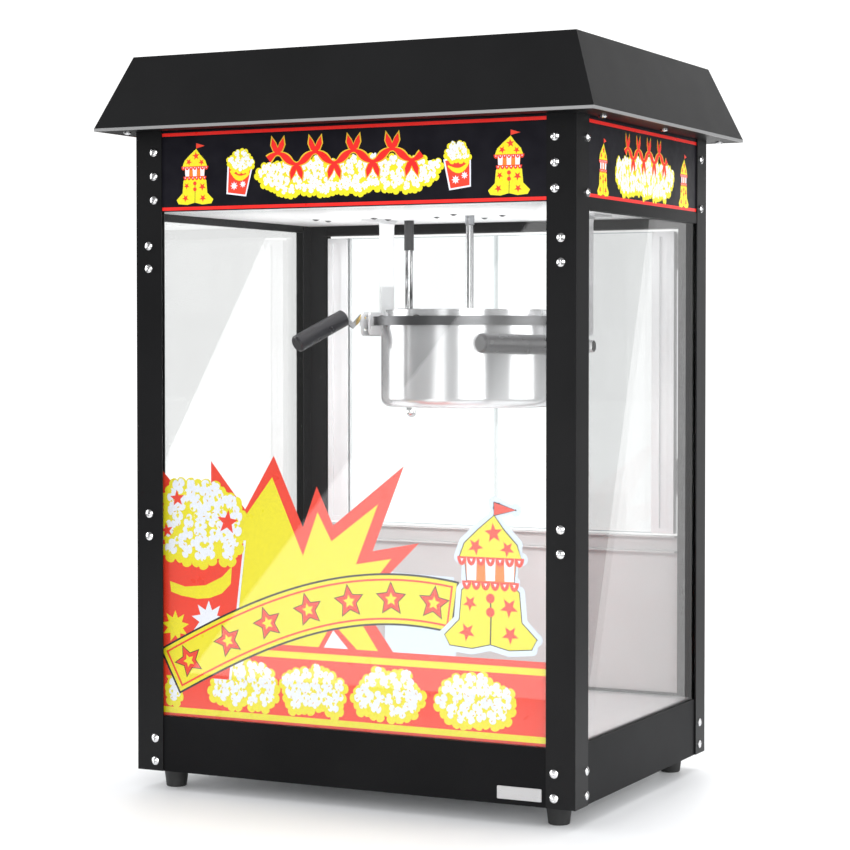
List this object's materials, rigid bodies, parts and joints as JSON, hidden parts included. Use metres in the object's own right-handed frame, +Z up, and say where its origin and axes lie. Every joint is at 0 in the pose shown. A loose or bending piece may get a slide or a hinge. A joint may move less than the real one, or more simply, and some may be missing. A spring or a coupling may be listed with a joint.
{
  "type": "popcorn maker",
  "caption": "Tabletop popcorn maker: black cabinet with hipped roof, decorated front glass, tilting stainless kettle with stirrer, rear doors and crumb tray.",
  "frame": {"origin": "centre of the footprint, on the surface that the feet stand on", "axes": "+Z up, +Y to the back where the doors are, -Y to the decorated front glass, +X to the right seen from the front"},
  "size_m": [0.56, 0.43, 0.766],
  "materials": {
    "black_coat": "satin powder coat",
    "zinc_sheet": "plain",
    "foot_rubber": "matt",
    "stainless_sheet": "bright",
    "front_sign_print": "printed, glossy",
    "side_sign_print": "printed, glossy",
    "front_glass": "clear, decorated",
    "side_glass": "clear",
    "grey_sheet": "satin",
    "hinge_steel": "plated",
    "catch_plastic": "plain",
    "nameplate_metal": "blank, satin",
    "screw_steel": "bright",
    "hanger_steel": "polished",
    "bush_brass": "plain",
    "motor_casting": "cast",
    "lamp_ceramic": "glazed",
    "lamp_glass": "frosted",
    "stile_aluminium": "satin",
    "acrylic_pane": "clear",
    "knob_plastic": "glossy",
    "kettle_steel": "polished",
    "band_steel": "dark, heat-stained",
    "heater_alloy": "cast",
    "rod_steel": "bright",
    "grip_plastic": "satin",
    "rocker_red": "glossy"
  },
  "bodies": {
    "cabinet": {"post_front_left": "black_coat", "post_front_right": "black_coat", "post_rear_left": "black_coat", "post_rear_right": "black_coat", "base_front_panel": "black_coat", "base_left_panel": "black_coat", "base_right_panel": "black_coat", "base_rear_panel": "black_coat", "base_pan": "zinc_sheet", "feet": "foot_rubber", "floor_plate": "stainless_sheet", "roof_shell": "black_coat", "roof_underside": "black_coat", "ceiling_plate": "stainless_sheet", "front_sign": "front_sign_print", "left_sign": "side_sign_print", "right_sign": "side_sign_print", "rear_top_panel": "black_coat", "side_top_rails": "black_coat", "front_glass": "front_glass", "left_glass": "side_glass", "right_glass": "side_glass", "rear_middle_rail": "grey_sheet", "rear_lower_panel": "grey_sheet", "door_hinges": "hinge_steel", "switch_bezels": "catch_plastic", "power_inlet": "catch_plastic", "nameplate": "nameplate_metal", "frame_screws": "screw_steel", "kettle_hangers": "hanger_steel", "trunnion_bushes": "bush_brass", "gear_motor": "motor_casting", "conduit": "hanger_steel", "conduit_fittings": "catch_plastic", "lamp_holder": "lamp_ceramic", "lamp_bulb": "lamp_glass"},
    "left_door": {"left_door_stile": "stile_aluminium", "left_door_pane": "acrylic_pane", "left_door_knob": "knob_plastic"},
    "right_door": {"right_door_stile": "stile_aluminium", "right_door_pane": "acrylic_pane", "right_door_knob": "knob_plastic"},
    "tray": {"crumb_tray": "stainless_sheet"},
    "kettle": {"kettle_shell": "kettle_steel", "kettle_pot": "kettle_steel", "kettle_band": "band_steel", "heater_element": "heater_alloy", "kettle_fasteners": "screw_steel", "kettle_crossbar": "hanger_steel", "kettle_brackets": "hanger_steel", "handle_rods": "rod_steel", "handle_grips": "grip_plastic"},
    "front_lid": {"front_lid": "kettle_steel"},
    "rear_lid": {"rear_lid": "kettle_steel"},
    "agitator": {"agitator": "kettle_steel"},
    "drive": {"drive_coupler": "motor_casting"},
    "motor_switch": {"motor_switch": "rocker_red"},
    "heat_switch": {"heat_switch": "rocker_red"},
    "light_switch": {"light_switch": "rocker_red"}
  },
  "joints": [
    {"name": "left_door_hinge", "type": "hinge", "parent": "cabinet", "child": "left_door", "pos_m": [-0.217, 0.1861, 0.42], "axis": [0, 0, 1], "range_deg": [0, 110]},
    {"name": "right_door_hinge", "type": "hinge", "parent": "cabinet", "child": "right_door", "pos_m": [0.217, 0.1861, 0.42], "axis": [0, 0, -1], "range_deg": [0, 110]},
    {"name": "tray_slide", "type": "slide", "parent": "cabinet", "child": "tray", "axis": [0, 1, 0], "range_m": [0, 0.24]},
    {"name": "kettle_tilt", "type": "hinge", "parent": "cabinet", "child": "kettle", "pos_m": [0.036, 0.03, 0.49], "axis": [1, 0, 0], "range_deg": [0, 90]},
    {"name": "front_lid_hinge", "type": "hinge", "parent": "kettle", "child": "front_lid", "pos_m": [0.036, 0.019, 0.5006], "axis": [-1, 0, 0], "range_deg": [0, 75]},
    {"name": "rear_lid_hinge", "type": "hinge", "parent": "kettle", "child": "rear_lid", "pos_m": [0.036, 0.041, 0.5006], "axis": [1, 0, 0], "range_deg": [0, 75]},
    {"name": "agitator_spin", "type": "hinge", "parent": "kettle", "child": "agitator", "pos_m": [0.036, 0.03, 0.5], "axis": [0, 0, 1], "continuous": true},
    {"name": "drive_spin", "type": "hinge", "parent": "cabinet", "child": "drive", "pos_m": [0.036, 0.03, 0.6], "axis": [0, 0, 1], "continuous": true},
    {"name": "motor_rocker", "type": "hinge", "parent": "cabinet", "child": "motor_switch", "pos_m": [-0.07, 0.1785, 0.65], "axis": [1, 0, 0], "range_deg": [0, 16]},
    {"name": "heat_rocker", "type": "hinge", "parent": "cabinet", "child": "heat_switch", "pos_m": [-0.03, 0.1785, 0.65], "axis": [1, 0, 0], "range_deg": [0, 16]},
    {"name": "light_rocker", "type": "hinge", "parent": "cabinet", "child": "light_switch", "pos_m": [0.01, 0.1785, 0.65], "axis": [1, 0, 0], "range_deg": [0, 16]}
  ],
  "couplings": [
    {"joint": "drive_spin", "follows": "agitator_spin", "ratio": 1}
  ]
}
